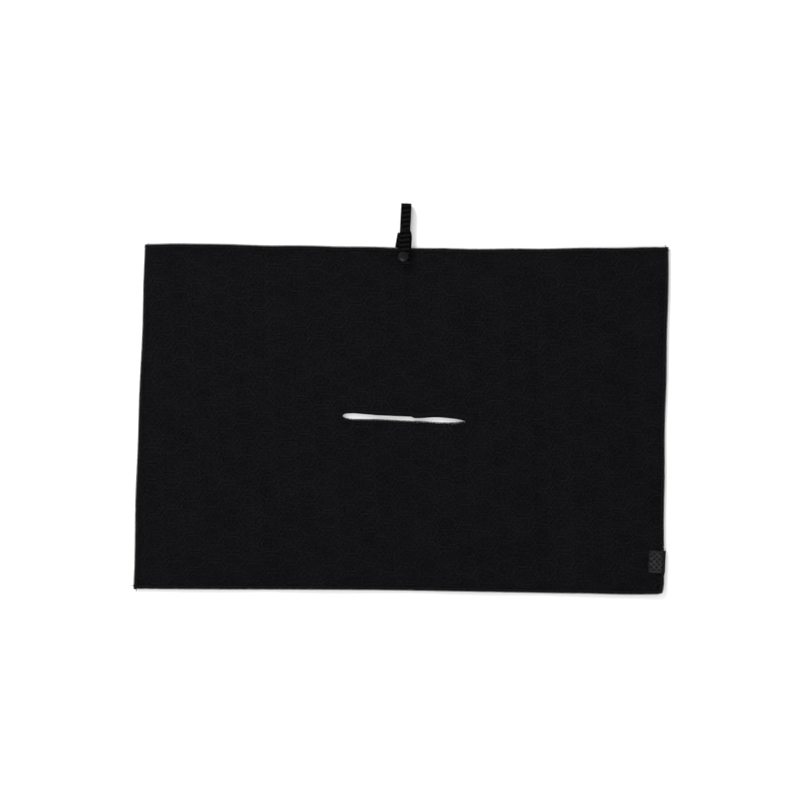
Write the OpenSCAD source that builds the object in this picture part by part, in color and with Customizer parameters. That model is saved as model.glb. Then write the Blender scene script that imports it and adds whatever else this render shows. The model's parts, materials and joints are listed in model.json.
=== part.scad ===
// Golf towel with a bound slit across its middle and a snap loop at one long edge.
// It lies flat with its front face up: +X runs along the long side, +Y points to the loop,
// and z = 0 is the surface that it lies on. The origin is under the middle of the whole towel.
// The cloth is drawn as two halves that meet at the fold line, and the tape of the loop as
// five stretches, so that the towel can fold and the loop can swing and be unsnapped.

/* [Cloth] */
// Long side of the towel
towel_w = 610; // [500:10:700]
// Short side of the towel
towel_l = 400; // [300:10:450]
// Thickness of the waffle cloth
cloth_t = 2.0; // [1.9:0.1:2.2]
// Gap between the two halves at the fold line
fold_gap = 0.3; // [0.2:0.1:0.6]

/* [Edge binding] */
// Width of the overlocked edge
bind_w = 4; // [3:0.5:6]
// Thickness of the overlocked edge, which is a little more than the cloth's
bind_t = 2.2; // [2.2:0.1:2.4]
// Thickness of the cloth where the overlock thread presses it flat
tongue_t = 1.0; // [0.8:0.1:1.2]
// Depth of thread outside the raw edge of the cloth
tongue_inset = 0.8; // [0.6:0.1:1.2]

/* [Club slit] */
// Length of the slit from point to point
slit_len = 143.5; // [120:0.5:160]
// Width of the slit as it lies open
slit_open = 5.5; // [5:0.1:8]
// Length over which each end of the slit closes to a point
slit_taper = 12; // [8:1:16]
// Middle of the slit, to the right of the towel's middle
slit_x = 3.4; // [-10:0.1:10]
// Width of the overlocked rim round the slit
lip_w = 3; // [2.5:0.1:4]

/* [Loop tape] */
// Middle of the loop, to the right of the towel's middle
loop_x = 2.6; // [-10:0.1:10]
// Width of the tape
tape_w = 12; // [12:0.5:15]
// Thickness of the tape
tape_t = 1.0; // [0.8:0.1:1.2]
// How far the loop reaches past the edge of the towel
loop_reach = 48.6; // [45:0.2:70]
// Height of the closed loop, outside its two legs
loop_h = 6.6; // [6.4:0.1:7.2]
// Length of tape that is sewn under the cloth
sewn_len = 26; // [25:1:30]
// Reach of the tape's turned-back end, which lies on the back leg, past the towel's edge
doubler_len = 18; // [12:1:22]

/* [Snap] */
// Distance from the edge of the towel to the middle of the snap
snap_inset = 13.5; // [10:0.5:14]
// Diameter of the cap
cap_d = 11.6; // [10:0.2:12]
// Height of the cap
cap_h = 1.6; // [1.2:0.1:2]
// Diameter of the shank that holds each half of the snap together
shank_d = 2.4; // [2:0.1:2.6]
// Diameter of the ball that the socket grips
stud_d = 3.8; // [3.6:0.1:4]
// Clearance between the ball and the socket, all round
snap_gap = 0.2; // [0.15:0.05:0.3]

/* [Label] */
// Length of the label's front leaf, from its inner end to the towel's edge
label_in = 18; // [14:1:24]
// Width of the label along the edge
label_w = 26.6; // [20:0.1:32]
// How far the folded label stands past the edge
label_out = 1.2; // [1.2:0.1:2]
// Middle of the label, below the fold line
label_y = 167.7; // [150:0.1:175]
// Thickness of the label
label_t = 0.4; // [0.3:0.1:0.5]

/* [Stitching] */
// Diameter of the sewing thread
thread_d = 0.4; // [0.3:0.05:0.5]
// Length of one stitch
stitch_len = 2.2; // [1.6:0.1:2.4]
// Distance from one stitch to the next
stitch_pitch = 3; // [2.8:0.1:3.4]

/* [Hidden] */
$fn = 48;

far = 2 * towel_w;                 // beyond every piece, for cuts
past = 1;                          // how far a cut runs past a face
ease = 0.1;                        // clearance beside a piece that lies in a recess
hem = towel_l / 2;                 // top edge, counted from the fold line
edge_x = towel_w / 2;              // right edge, counted from the middle
half_gap = fold_gap / 2;
tongue_z = (cloth_t - tongue_t) / 2;
bind_r = bind_t / 2;               // the thread is wrapped round the edge in a half circle
shift_x = -label_out / 2;          // from the cloth's middle to the origin
shift_y = -loop_reach / 2;
side_len = hem - bind_w - half_gap;

// The slit
slit_half = slit_len / 2;
slit_point = 1.5;                  // how much faster the rim grows at the points

// The loop, with y counted from the edge of the towel
fold_r = loop_h / 2;               // outside of the turn at the far end
turn_y = loop_reach - fold_r;      // where the turn starts
sewn_out = 0.5;                    // the sewn end shows just past the edge
back_start = 4;                    // the back leg's near end
front_start = 3.8;                 // the front leg's near end
front_end = turn_y - 0.2;          // the front leg's far end
tab_end = 2.2;                     // the snap tab's end beside the front leg
tab_tip = -snap_inset - 7.5;       // the snap tab's free end
front_z = loop_h - tape_t;         // underside of the front leg
lining_z = front_z - tape_t;       // underside of the snap tab's second layer

// The snap, from the back of the towel to the cap
flange_d = 10.8;
flange_h = 0.6;
stud_base_d = 9.2;
stud_base_z = 1.6;
stud_base_top = 2.2;
stud_top = 4.2;
stud_bore_top = 3.4;
stud_round = 0.5;                  // rounding of the ball's top edge
socket_d = 9.6;
socket_z = 2.6;
socket_roof = 0.3;                 // metal over the ball
cap_rim_h = 0.5;

// The label and the rows of stitches
label_seam = 1.6;                  // from the label's inner end to its seam
label_bend_r = (bind_t + label_t) / 2;
anchor_rows_x = 5.3;               // side rows of the anchor stitching, from the loop's middle
anchor_low_y = -snap_inset - 10;   // lowest row of the anchor stitching, from the edge
doubler_seam_y = doubler_len - 1.2;

// ---- places ----

module at_towel() {
    translate([shift_x, shift_y, 0]) children();
}

module at_slit() {
    at_towel() translate([slit_x, 0, 0]) children();
}

module at_loop() {
    at_towel() translate([loop_x, hem, 0]) children();
}

module at_snap(z = 0) {
    at_loop() translate([0, -snap_inset, z]) children();
}

// A stretch of tape between two distances from the towel's edge, with its underside at z
module tape(y0, y1, z) {
    translate([-tape_w / 2, y0, z]) cube([tape_w, y1 - y0, tape_t]);
}

// ---- cloth ----

// The towel's outline, drawn in from its edges
module cloth_outline(inset) {
    square([towel_w - 2 * inset, towel_l - 2 * inset], center = true);
}

// The slit's outline, grown outwards
module slit_outline(grow) {
    flat_half = slit_half - slit_taper;
    tip = slit_half + slit_point * grow;
    side = slit_open / 2 + grow;
    translate([slit_x, 0]) polygon([
        [-tip, 0], [-flat_half, side], [flat_half, side],
        [tip, 0], [flat_half, -side], [-flat_half, -side]
    ]);
}

// The cloth is full inside the bindings and pressed thin within them
module whole_cloth() {
    linear_extrude(cloth_t) difference() {
        cloth_outline(bind_w);
        slit_outline(lip_w);
    }
    translate([0, 0, tongue_z]) linear_extrude(tongue_t) difference() {
        cloth_outline(tongue_inset);
        slit_outline(tongue_inset);
    }
}

// Keeps what lies on one side of the fold line: side is 1 above it and -1 below it
module keep_half(side) {
    intersection() {
        children();
        translate([-far / 2, side > 0 ? half_gap : -far - half_gap, -past]) cube([far, far, far]);
    }
}

// Room under the cloth for the sewn end of the tape
module tape_recess() {
    translate([loop_x - tape_w / 2 - ease, hem - sewn_len, -past])
        cube([tape_w + 2 * ease, sewn_len + past, tape_t + past]);
}

// Room for the stud's base and for the shank below it
module stud_recess() {
    translate([loop_x, hem - snap_inset, 0]) {
        translate([0, 0, stud_base_z]) cylinder(d = stud_base_d, h = cloth_t);
        cylinder(d = shank_d, h = cloth_t);
    }
}

// Room for the back leaf of the label
module label_recess() {
    translate([edge_x - label_in - ease, -label_y - label_w / 2 - ease, -past])
        cube([label_in + past + ease, label_w + 2 * ease, label_t + past]);
}

module towel_upper_half() {
    color("#17171a") at_towel() difference() {
        keep_half(1) whole_cloth();
        tape_recess();
        stud_recess();
    }
}

module towel_lower_half() {
    color("#17171a") at_towel() difference() {
        keep_half(-1) whole_cloth();
        label_recess();
    }
}

// ---- overlocked edges ----

// Cross-section of a binding: x is counted inwards from the edge, and y is height
module binding_section() {
    difference() {
        union() {
            translate([bind_r, 0]) square([bind_w - bind_r, bind_t]);
            translate([bind_r, bind_r]) circle(r = bind_r);
        }
        translate([tongue_inset, tongue_z]) square([bind_w, tongue_t]);
    }
}

// A straight binding along X with its outer edge at y = 0 and the cloth on its -Y side
module binding(length) {
    translate([-length / 2, 0, 0]) rotate([90, 0, 90]) linear_extrude(length)
        mirror([1, 0]) binding_section();
}

// One side's binding over one half: sx is 1 on the right, sy is 1 above the fold line
module side_binding(sx, sy) {
    translate([sx * edge_x, sy * (half_gap + side_len / 2), 0])
        rotate([0, 0, -sx * 90]) binding(side_len);
}

module top_edge_overlock() {
    color("#101012") at_towel() difference() {
        translate([0, hem, 0]) binding(towel_w);
        tape_recess();
    }
}

module bottom_edge_overlock() {
    color("#101012") at_towel() rotate([0, 0, 180]) translate([0, hem, 0]) binding(towel_w);
}

module upper_left_edge_overlock() {
    color("#101012") at_towel() side_binding(-1, 1);
}

module upper_right_edge_overlock() {
    color("#101012") at_towel() side_binding(1, 1);
}

module lower_left_edge_overlock() {
    color("#101012") at_towel() side_binding(-1, -1);
}

module lower_right_edge_overlock() {
    color("#101012") at_towel() difference() {
        side_binding(1, -1);
        label_recess();
    }
}

// The rim round the slit, on one side of the fold line
module slit_lip(side) {
    color("#101012") at_towel() keep_half(side) difference() {
        linear_extrude(bind_t) difference() {
            slit_outline(lip_w);
            slit_outline(0);
        }
        translate([0, 0, tongue_z]) linear_extrude(tongue_t) difference() {
            cloth_outline(tongue_inset);
            slit_outline(tongue_inset);
        }
    }
}

module slit_upper_lip_overlock() {
    slit_lip(1);
}

module slit_lower_lip_overlock() {
    slit_lip(-1);
}

// ---- loop ----

module loop_sewn_end() {
    color("#131313") at_loop() difference() {
        tape(-sewn_len, sewn_out, 0);
        translate([0, -snap_inset, -past]) cylinder(d = flange_d, h = flange_h + past);
        translate([0, -snap_inset, 0]) cylinder(d = shank_d, h = tape_t + past);
    }
}

// The back leg carries the tape's turned-back end
module loop_back_leg() {
    color("#131313") at_loop() {
        tape(back_start, turn_y, 0);
        tape(back_start, doubler_len, tape_t);
    }
}

// The tape turns over in a half circle at the far end of the loop
module loop_top_fold() {
    color("#131313") at_loop() translate([-tape_w / 2, turn_y, fold_r])
        rotate([90, 0, 90]) linear_extrude(tape_w) intersection() {
            difference() {
                circle(r = fold_r);
                circle(r = fold_r - tape_t);
            }
            translate([0, -loop_h]) square([loop_h, 2 * loop_h]);
        }
}

module loop_front_leg() {
    color("#131313") at_loop() tape(front_start, front_end, front_z);
}

// The tab is two layers thick where it holds the cap and the socket
module loop_snap_tab() {
    color("#131313") at_loop() difference() {
        union() {
            tape(tab_tip, tab_end, front_z);
            tape(tab_tip, tab_end, lining_z);
        }
        translate([0, -snap_inset, 0]) cylinder(d = shank_d, h = loop_h + past);
    }
}

// ---- snap ----

module snap_post() {
    color("#0c0c0c") at_snap() {
        cylinder(d = flange_d, h = flange_h);
        cylinder(d = shank_d, h = stud_bore_top);
    }
}

module snap_stud() {
    stud_r = stud_d / 2;
    color("#0c0c0c") at_snap() difference() {
        union() {
            translate([0, 0, stud_base_z]) cylinder(d = stud_base_d, h = stud_base_top - stud_base_z);
            translate([0, 0, stud_base_z]) rotate_extrude() {
                square([stud_r, stud_top - stud_round - stud_base_z]);
                square([stud_r - stud_round, stud_top - stud_base_z]);
                translate([stud_r - stud_round, stud_top - stud_round - stud_base_z])
                    circle(r = stud_round);
            }
        }
        cylinder(d = shank_d, h = stud_bore_top);
    }
}

module snap_socket() {
    bore_h = lining_z - socket_roof - socket_z;
    color("#0c0c0c") at_snap(socket_z) difference() {
        cylinder(d = socket_d, h = lining_z - socket_z);
        translate([0, 0, -past]) cylinder(d = stud_d + 2 * snap_gap, h = bore_h + past);
    }
}

// A low dome over a straight rim, with the shank under it
module snap_cap() {
    cap_r = cap_d / 2;
    rise = cap_h - cap_rim_h;
    dome_r = (cap_r * cap_r + rise * rise) / (2 * rise);
    color("#0c0c0c") at_snap() {
        translate([0, 0, lining_z]) cylinder(d = shank_d, h = loop_h - lining_z);
        translate([0, 0, loop_h]) rotate_extrude() {
            square([cap_r, cap_rim_h]);
            intersection() {
                translate([0, cap_h - dome_r]) circle(r = dome_r, $fn = 240);
                translate([0, cap_rim_h]) square([cap_r, cap_h]);
            }
        }
    }
}

// ---- label ----

// Cross-section of the folded label, whose back leaf lies in the recess and whose front leaf
// lies on the binding: x counts from the towel's edge, and y is height
module label_section() {
    bend_x = label_out - label_bend_r;
    difference() {
        union() {
            translate([-label_in, 0]) square([label_in + bend_x, 2 * label_bend_r]);
            translate([bend_x, label_bend_r]) circle(r = label_bend_r);
        }
        translate([-label_in - past, label_t])
            square([label_in + bend_x + past, bind_t - label_t]);
        translate([bend_x, label_bend_r]) circle(r = label_bend_r - label_t);
    }
}

module side_label() {
    color("#252525") at_towel() translate([edge_x, -label_y + label_w / 2, 0])
        rotate([90, 0, 0]) linear_extrude(label_w) label_section();
}

// ---- stitching ----

// A row of stitches along +X that starts at the origin and lies on z = 0
module stitch_row(length) {
    count = max(1, floor(length / stitch_pitch + 0.5));
    slack = (length - (count - 1) * stitch_pitch - stitch_len) / 2;
    for (i = [0 : count - 1])
        translate([slack + i * stitch_pitch, 0, thread_d / 2])
            rotate([0, 90, 0]) cylinder(d = thread_d, h = stitch_len, $fn = 16);
}

module loop_anchor_stitching() {
    rows_w = 2 * anchor_rows_x;
    side_row = -bind_w - anchor_low_y - thread_d;
    color("#131313") at_loop() translate([0, 0, cloth_t]) {
        translate([-anchor_rows_x, anchor_low_y, 0]) stitch_row(rows_w);
        for (side = [-1, 1])
            translate([side * anchor_rows_x, anchor_low_y + thread_d, 0])
                rotate([0, 0, 90]) stitch_row(side_row);
    }
}

module loop_doubler_stitching() {
    row = tape_w - 2;
    color("#131313") at_loop() translate([-row / 2, doubler_seam_y, 2 * tape_t]) stitch_row(row);
}

module label_stitching() {
    row = label_w - 3;
    color("#2b2b2b") at_towel()
        translate([edge_x - label_in + label_seam, -label_y - row / 2, bind_t + label_t])
            rotate([0, 0, 90]) stitch_row(row);
}

towel_upper_half();
towel_lower_half();
top_edge_overlock();
bottom_edge_overlock();
upper_left_edge_overlock();
upper_right_edge_overlock();
lower_left_edge_overlock();
lower_right_edge_overlock();
slit_upper_lip_overlock();
slit_lower_lip_overlock();
loop_sewn_end();
loop_back_leg();
loop_top_fold();
loop_front_leg();
loop_snap_tab();
loop_anchor_stitching();
loop_doubler_stitching();
snap_post();
snap_stud();
snap_socket();
snap_cap();
side_label();
label_stitching();
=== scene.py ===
"""A golf towel lying flat, front face up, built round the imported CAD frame.

Shapes are worked out in millimetres from the middle of the towel's fold line, with +Y towards
the loop, and place() turns them into the row frame's metres.
"""
import json
import math

import bpy
import numpy as np
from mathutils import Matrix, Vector


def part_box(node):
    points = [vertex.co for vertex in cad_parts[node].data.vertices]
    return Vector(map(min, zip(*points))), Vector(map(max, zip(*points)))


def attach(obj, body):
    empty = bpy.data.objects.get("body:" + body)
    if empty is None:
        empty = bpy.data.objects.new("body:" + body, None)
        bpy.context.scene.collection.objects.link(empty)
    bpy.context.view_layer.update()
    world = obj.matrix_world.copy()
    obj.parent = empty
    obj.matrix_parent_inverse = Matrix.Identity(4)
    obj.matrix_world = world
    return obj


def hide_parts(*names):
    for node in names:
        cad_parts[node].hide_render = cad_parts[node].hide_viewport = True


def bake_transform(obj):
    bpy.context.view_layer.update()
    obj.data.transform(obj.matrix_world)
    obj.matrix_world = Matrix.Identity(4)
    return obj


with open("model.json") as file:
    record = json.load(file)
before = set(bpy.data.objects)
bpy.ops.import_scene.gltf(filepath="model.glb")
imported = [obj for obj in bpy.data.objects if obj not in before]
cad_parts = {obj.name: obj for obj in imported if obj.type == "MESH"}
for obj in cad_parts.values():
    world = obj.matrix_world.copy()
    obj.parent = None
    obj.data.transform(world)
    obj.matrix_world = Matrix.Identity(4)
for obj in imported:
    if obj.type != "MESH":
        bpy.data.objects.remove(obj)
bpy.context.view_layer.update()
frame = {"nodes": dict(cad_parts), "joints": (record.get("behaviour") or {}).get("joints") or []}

MM = 0.001

# ---- what the frame says, in millimetres ----


def joint_place(name):
    """A hinge's position in the row frame, in metres."""
    return next(j["pos_m"] for j in frame["joints"] if j["name"] == name)


def size_mm(node, axis):
    low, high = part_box(node)
    return (high[axis] - low[axis]) / MM


def middle_m(node, axis):
    low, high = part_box(node)
    return (low[axis] + high[axis]) / 2


ORIGIN = np.array([middle_m("towel_lower_half", 0), joint_place("towel_fold")[1], 0.0])


def from_frame(value, axis):
    return (value - ORIGIN[axis]) / MM


TOWEL_W = size_mm("top_edge_overlock", 0)
HEM = from_frame(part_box("top_edge_overlock")[1][1], 1)
CLOTH_T = size_mm("towel_upper_half", 2)
BIND_T = size_mm("top_edge_overlock", 2)
BIND_W = size_mm("bottom_edge_overlock", 1)
EDGE_X = TOWEL_W / 2
LOOP_X = from_frame(middle_m("loop_sewn_end", 0), 0)
LOOP_TOP = from_frame(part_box("loop_top_fold")[1][1], 1)
LOOP_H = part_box("loop_top_fold")[1][2] / MM
TAPE_W = size_mm("loop_front_leg", 0)
TAPE_T = size_mm("loop_front_leg", 2)
SNAP_Y = from_frame(middle_m("snap_cap", 1), 1)
TAB_TIP = from_frame(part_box("loop_snap_tab")[0][1], 1)
SEWN_TIP = from_frame(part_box("loop_sewn_end")[0][1], 1)
LABEL_LOW, LABEL_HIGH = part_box("side_label")
LABEL_Y = from_frame(middle_m("side_label", 1), 1)
LABEL_W = size_mm("side_label", 1)
LABEL_T = 0.4
LABEL_IN = EDGE_X - from_frame(LABEL_LOW[0], 0)
LABEL_OUT = from_frame(LABEL_HIGH[0], 0) - EDGE_X
OPENING_Y = from_frame(joint_place("loop_opening")[1], 1)


def place(points):
    """Millimetres from the middle of the fold line, to metres in the row frame."""
    return np.asarray(points, float) * MM + ORIGIN


# ---- small curves ----


def smooth(low, high, value):
    """0 at low and below, 1 at high and above, and smooth between."""
    t = np.clip((value - low) / (high - low), 0, 1)
    return t * t * (3 - 2 * t)


def bell(value, centre, width):
    return np.exp(-(((value - centre) / width) ** 2))


def ping_pong(value, half):
    """Distance to the nearest multiple of 2 * half."""
    return np.abs((value + half) % (2 * half) - half)


# ---- how the towel lies ----

CORNERS = {"top_left": (-297.3, 200.3), "top_right": (310.3, 197.5),
           "bottom_left": (-310.8, -198.9), "bottom_right": (304.3, -205.6)}
CORNER_ROUND = 5.5       # radius of the bottom right corner, which has gone limp
CREASES_X = (-157.0, 9.0, 159.0)
SLIT_LEFT = (-68.6, 2.3)
SLIT_RIGHT = (75.2, -2.8)
# half of the slit's opening along its length: it gapes more near its two ends
SLIT_SHAPE = ((-68.6, 0), (-67, 1.4), (-63, 2.7), (-55, 3.3), (-28, 2.3), (8, 3.0), (26, 3.0),
              (45, 3.8), (62, 3.1), (71, 2.0), (74.2, 1.0), (75.2, 0))
SLIT_THREAD = 0.7        # the rim's thread stands this far into the opening
SLIT_NOTCH = 1.6         # the upper lip drops by this much at a loose stitch
SLIT_REACH = 26.0        # how far from the slit the cloth still makes room for it


def lie_flat(u, v):
    """Where a point of the cut cloth lies on the table: the cloth isn't quite square."""
    s = u / TOWEL_W + 0.5
    t = v / (2 * HEM) + 0.5
    x, y = (
        (1 - t) * ((1 - s) * CORNERS["bottom_left"][i] + s * CORNERS["bottom_right"][i])
        + t * ((1 - s) * CORNERS["top_left"][i] + s * CORNERS["top_right"][i])
        for i in (0, 1)
    )
    y = y + t * (0.5 + 1.5 * bell(s, 0.09, 0.08) - 3.3 * bell(s, 0.64, 0.26))
    y = y + (1 - t) * (1.5 * bell(s, 0.45, 0.25) - 0.5 * bell(s, 0.93, 0.05))
    y = y + t * 0.25 * np.sin(47 * s) * smooth(0, 0.1, s)
    x = x - (1 - s) * (1.0 * bell(t, 0.38, 0.25) - 0.35 * np.sin(19 * t))
    x = x + s * (0.6 * np.sin(6.5 * t + 2.0) + 0.3 * np.sin(23 * t))
    # the limp corner: points near it are drawn in along a circle
    in_x = np.clip(1 - (EDGE_X - u) / (2.5 * CORNER_ROUND), 0, 1)
    in_y = np.clip(1 - (HEM + v) / (2.5 * CORNER_ROUND), 0, 1)
    drawn_in = 0.3 * CORNER_ROUND * (in_x * in_y) ** 2
    return x - drawn_in, y + drawn_in


def slit_line(x):
    """Height of the slit's middle line, and half of its opening, at x."""
    share = (x - SLIT_LEFT[0]) / (SLIT_RIGHT[0] - SLIT_LEFT[0])
    inside = np.clip(share, 0, 1)
    beyond = np.maximum(SLIT_LEFT[0] - x, x - SLIT_RIGHT[0])
    line = (1 - inside) * SLIT_LEFT[1] + inside * SLIT_RIGHT[1]
    line = line * (1 - smooth(0, 45, beyond))
    shape = np.array(SLIT_SHAPE)
    half = np.interp(x, shape[:, 0], shape[:, 1])
    return line, half + SLIT_THREAD * smooth(0, 1.2, half)


def make_room_for_slit(x, y, side):
    """Moves the cloth up or down round the slit. side is 1 above it and -1 below it."""
    line, half = slit_line(x)
    near = 1 - smooth(0, SLIT_REACH, np.abs(y))
    notch = SLIT_NOTCH * smooth(12, 15.5, x) * (1 - smooth(16, 40, x)) * (side > 0)
    return y + (line + side * half - notch) * near


def lift(x, y):
    """How far the cloth stands off the table: each panel between two creases is a low pillow."""
    edges = (-330.0,) + CREASES_X + (335.0,)
    rise = np.zeros_like(x)
    for low, high, tall in zip(edges[:-1], edges[1:], (0.75, 0.9, 0.8, 0.9)):
        share = np.clip((x - low) / (high - low), 0, 1)
        rise = rise + tall * np.sin(math.pi * share) ** 0.8 * (share > 0) * (share < 1)
    rise = rise * smooth(0, 90, np.abs(y)) * (0.8 + 0.2 * np.sin(x / 61 + y / 83))
    rise = rise * (1 - bell(x, LOOP_X, 34) * smooth(120, 178, y))
    curl = 1.3 * smooth(268, 303, x) * smooth(170, 203, -y)
    return rise + curl


def crease(x, y):
    """Depth of the fold creases, which are valleys on the front face."""
    depth = sum(bell(x + 0.012 * y, c, 2.3) + 0.35 * bell(x + 0.012 * y, c, 8) for c in CREASES_X)
    across = bell(y, 1.5, 1.8) * smooth(66, 74, -x) * (1 - smooth(165, 190, -x))
    return 0.30 * depth + 0.30 * across


# ---- the waffle ----

HEX_HALF_W = 15.1        # half of a cell, from corner to corner along a row
HEX_HALF_H = 10.15       # half of a cell, from flat side to flat side
HEX_SLANT = 0.0715       # how fast the slanted sides' measure grows, for each mm
OVERLOCK_PITCH = 1.9     # denser than the 2.4 mm that the photo suggests, which looked sparse
SLIT_PITCH = 1.7
ROWS_FALL = math.radians(1.5)
COLUMNS_LEAN = math.radians(3.2)
ROOT3_2 = math.sqrt(3) / 2


def weave_place(x, y):
    """Coordinates along the waffle's rows and columns, in mm, which slant across the cloth."""
    c1, s1 = math.cos(ROWS_FALL), -math.sin(ROWS_FALL)
    c2, s2 = -math.sin(COLUMNS_LEAN), math.cos(COLUMNS_LEAN)
    whole = c1 * s2 - s1 * c2
    return (x * s2 - y * c2) / whole, (y * c1 - x * s1) / whole


def cell_depth(a, b):
    """Distance in mm from a point to the edge of the six-sided cell that it lies in."""
    x = ping_pong(a / HEX_HALF_W, 1.5)
    y = ping_pong(b / HEX_HALF_H * ROOT3_2, ROOT3_2)

    def inside(x, y):
        flat = (ROOT3_2 - y) * HEX_HALF_H / ROOT3_2
        slanted = (ROOT3_2 - (ROOT3_2 * x + 0.5 * y)) / HEX_SLANT
        return np.minimum(flat, slanted)

    return np.maximum(inside(x, y), inside(1.5 - x, ROOT3_2 - y))


def waffle(x, y):
    """Relief of one face: two ridges with a groove between them along each side of a cell."""
    depth = cell_depth(*weave_place(x, y))
    ridge = bell(depth, 1.55, 0.85)
    floor = smooth(2.4, 5.5, depth)
    return 0.26 * ridge - 0.22 * floor - 0.12 * bell(depth, 0, 0.7)


# ---- meshes ----


def make_mesh(name, points, faces, material, uv=None):
    """A mesh object from points in mm. uv holds one pair in metres for each point."""
    mesh = bpy.data.meshes.new(name)
    mesh.from_pydata(place(points).tolist(), [], [list(map(int, f)) for f in faces])
    mesh.validate()
    mesh.polygons.foreach_set("use_smooth", np.ones(len(mesh.polygons), bool))
    if uv is not None:
        corner = np.empty(len(mesh.loops), np.int32)
        mesh.loops.foreach_get("vertex_index", corner)
        layer = mesh.uv_layers.new(name="flat")
        layer.data.foreach_set("uv", np.asarray(uv, np.float32)[corner].ravel())
    mesh.materials.append(material)
    mesh.update()
    piece = bpy.data.objects.new(name, mesh)
    bpy.context.scene.collection.objects.link(piece)
    return piece


def grid_faces(index, flip=False):
    """Quads over a 2-D array of point numbers."""
    a, b = index[:-1, :-1].ravel(), index[:-1, 1:].ravel()
    c, d = index[1:, 1:].ravel(), index[1:, :-1].ravel()
    quads = np.stack([a, b, c, d], 1)
    return quads[:, ::-1] if flip else quads


def rim_faces(fine, coarse):
    """Joins a row of points to a row with half as many steps."""
    faces = []
    for k in range(len(coarse) - 1):
        f0, f1, f2 = fine[2 * k: 2 * k + 3]
        c0, c1 = coarse[k: k + 2]
        faces += [(c0, f0, f1), (c0, f1, c1), (c1, f1, f2)]
    return faces


def tube(path, radius, sides=6, squeeze=1.0):
    """Points and faces of a thread along a path of points in mm, with its ends capped."""
    path = np.asarray(path, float)
    ahead = np.roll(path, -1, 0) - np.roll(path, 1, 0)
    ahead[0], ahead[-1] = path[1] - path[0], path[-1] - path[-2]
    ahead /= np.linalg.norm(ahead, axis=1, keepdims=True)
    side = np.cross(ahead, (0, 0, 1.0))
    weak = np.linalg.norm(side, axis=1) < 0.2
    side[weak] = np.cross(ahead[weak], (1.0, 0.3, 0))
    side /= np.linalg.norm(side, axis=1, keepdims=True)
    up = np.cross(side, ahead)
    radius = np.broadcast_to(np.asarray(radius, float), len(path))[:, None, None]
    angle = np.arange(sides) * 2 * math.pi / sides
    ring = (np.cos(angle)[None, :, None] * side[:, None, :]
            + squeeze * np.sin(angle)[None, :, None] * up[:, None, :])
    points = (path[:, None, :] + radius * ring).reshape(-1, 3)
    index = np.arange(len(path) * sides).reshape(len(path), sides)
    index = np.concatenate([index, index[:, :1]], 1)
    faces = [tuple(f) for f in grid_faces(index)]
    return points, faces + [tuple(index[0, :sides][::-1]), tuple(index[-1, :sides])]


def join_parts(parts):
    """One list of points and one of faces, from several (points, faces)."""
    points, faces, first = [], [], 0
    for some_points, some_faces in parts:
        points.append(np.asarray(some_points))
        faces += [tuple(i + first for i in f) for f in some_faces]
        first += len(some_points)
    return np.concatenate(points), faces


# ---- materials ----


class Nodes:
    """A short way to write shader nodes."""

    def __init__(self, tree):
        self.tree = tree

    def node(self, kind, settings=None, **inputs):
        made = self.tree.nodes.new(kind)
        for key, value in (settings or {}).items():
            setattr(made, key, value)
        for key, value in inputs.items():
            self.feed(made.inputs[key.replace("_", " ")], value)
        return made

    def feed(self, socket, value):
        if isinstance(value, bpy.types.NodeSocket):
            self.tree.links.new(value, socket)
        else:
            socket.default_value = value

    def math(self, operation, *values, clamp=False):
        made = self.tree.nodes.new("ShaderNodeMath")
        made.operation = operation
        made.use_clamp = clamp
        for socket, value in zip(made.inputs, values):
            self.feed(socket, value)
        return made.outputs[0]

    def sum(self, *values):
        total = values[0]
        for value in values[1:]:
            total = self.math("ADD", total, value)
        return total

    def times(self, a, b):
        return self.math("MULTIPLY", a, b)

    def bell(self, value, centre, width):
        off = self.math("DIVIDE", self.math("SUBTRACT", value, centre), width)
        return self.math("EXPONENT", self.times(self.times(off, off), -1.0))

    def step(self, value, low, high):
        made = self.tree.nodes.new("ShaderNodeMapRange")
        made.interpolation_type = "SMOOTHSTEP"
        self.feed(made.inputs["Value"], value)
        made.inputs["From Min"].default_value = low
        made.inputs["From Max"].default_value = high
        return made.outputs[0]

    def flat(self):
        """The cloth's own coordinates, in mm."""
        uv = self.tree.nodes.new("ShaderNodeUVMap")
        uv.uv_map = "flat"
        scaled = self.tree.nodes.new("ShaderNodeVectorMath")
        scaled.operation = "SCALE"
        self.feed(scaled.inputs[0], uv.outputs[0])
        scaled.inputs["Scale"].default_value = 1 / MM
        split = self.tree.nodes.new("ShaderNodeSeparateXYZ")
        self.feed(split.inputs[0], scaled.outputs[0])
        return scaled.outputs[0], split.outputs["X"], split.outputs["Y"]

    def here(self):
        """Object coordinates in mm, for hard pieces that never bend."""
        place_node = self.tree.nodes.new("ShaderNodeTexCoord")
        scaled = self.tree.nodes.new("ShaderNodeVectorMath")
        scaled.operation = "SCALE"
        self.feed(scaled.inputs[0], place_node.outputs["Object"])
        scaled.inputs["Scale"].default_value = 1 / MM
        return scaled.outputs[0]

    def noise(self, vector, size_mm, detail=2.0, roughness=0.5):
        made = self.node("ShaderNodeTexNoise", {"noise_dimensions": "3D"})
        self.feed(made.inputs["Vector"], vector)
        made.inputs["Scale"].default_value = 1 / size_mm
        made.inputs["Detail"].default_value = detail
        made.inputs["Roughness"].default_value = roughness
        return made.outputs[0]

    def wave(self, value, pitch):
        """From -1 to 1, once every pitch mm."""
        return self.math("SINE", self.times(value, 2 * math.pi / pitch))


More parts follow.
